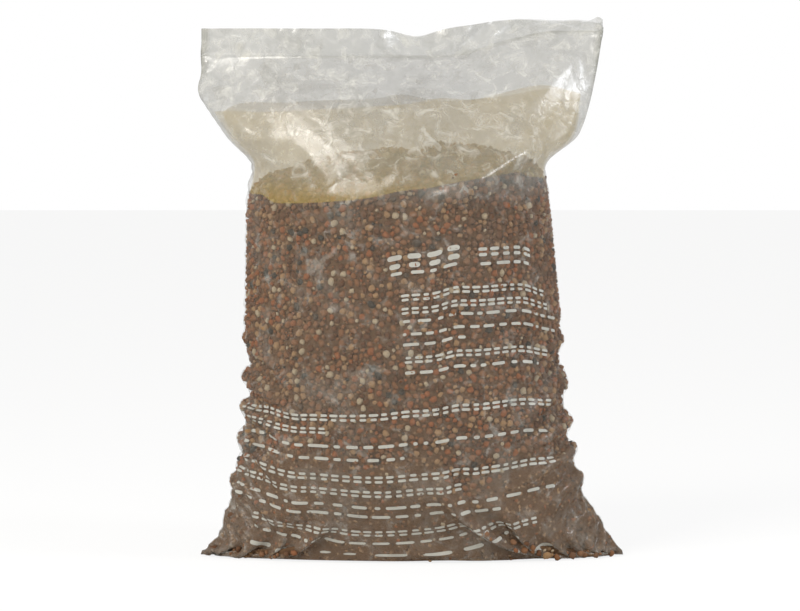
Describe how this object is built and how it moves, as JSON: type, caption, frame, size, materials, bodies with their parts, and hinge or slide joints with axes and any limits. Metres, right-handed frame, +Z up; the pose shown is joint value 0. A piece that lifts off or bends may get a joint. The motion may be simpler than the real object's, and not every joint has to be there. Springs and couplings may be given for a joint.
{
  "type": "compost bag",
  "caption": "Upright see-through film bag of granular potting soil, welded at foot and top, with a slack headspace and a loose header.",
  "frame": {"origin": "on the floor, under the middle of the bag's bounding box", "axes": "+Z up, -Y out of the printed front wall, +X to the right as seen from the front"},
  "size_m": [0.2702, 0.1502, 0.3411],
  "materials": {
    "clear_film": "clear glossy polyethylene film",
    "granular_soil": "matt porous brown granules"
  },
  "bodies": {
    "root": {"film_bag": "clear_film", "soil_fill": "granular_soil"}
  },
  "joints": []
}
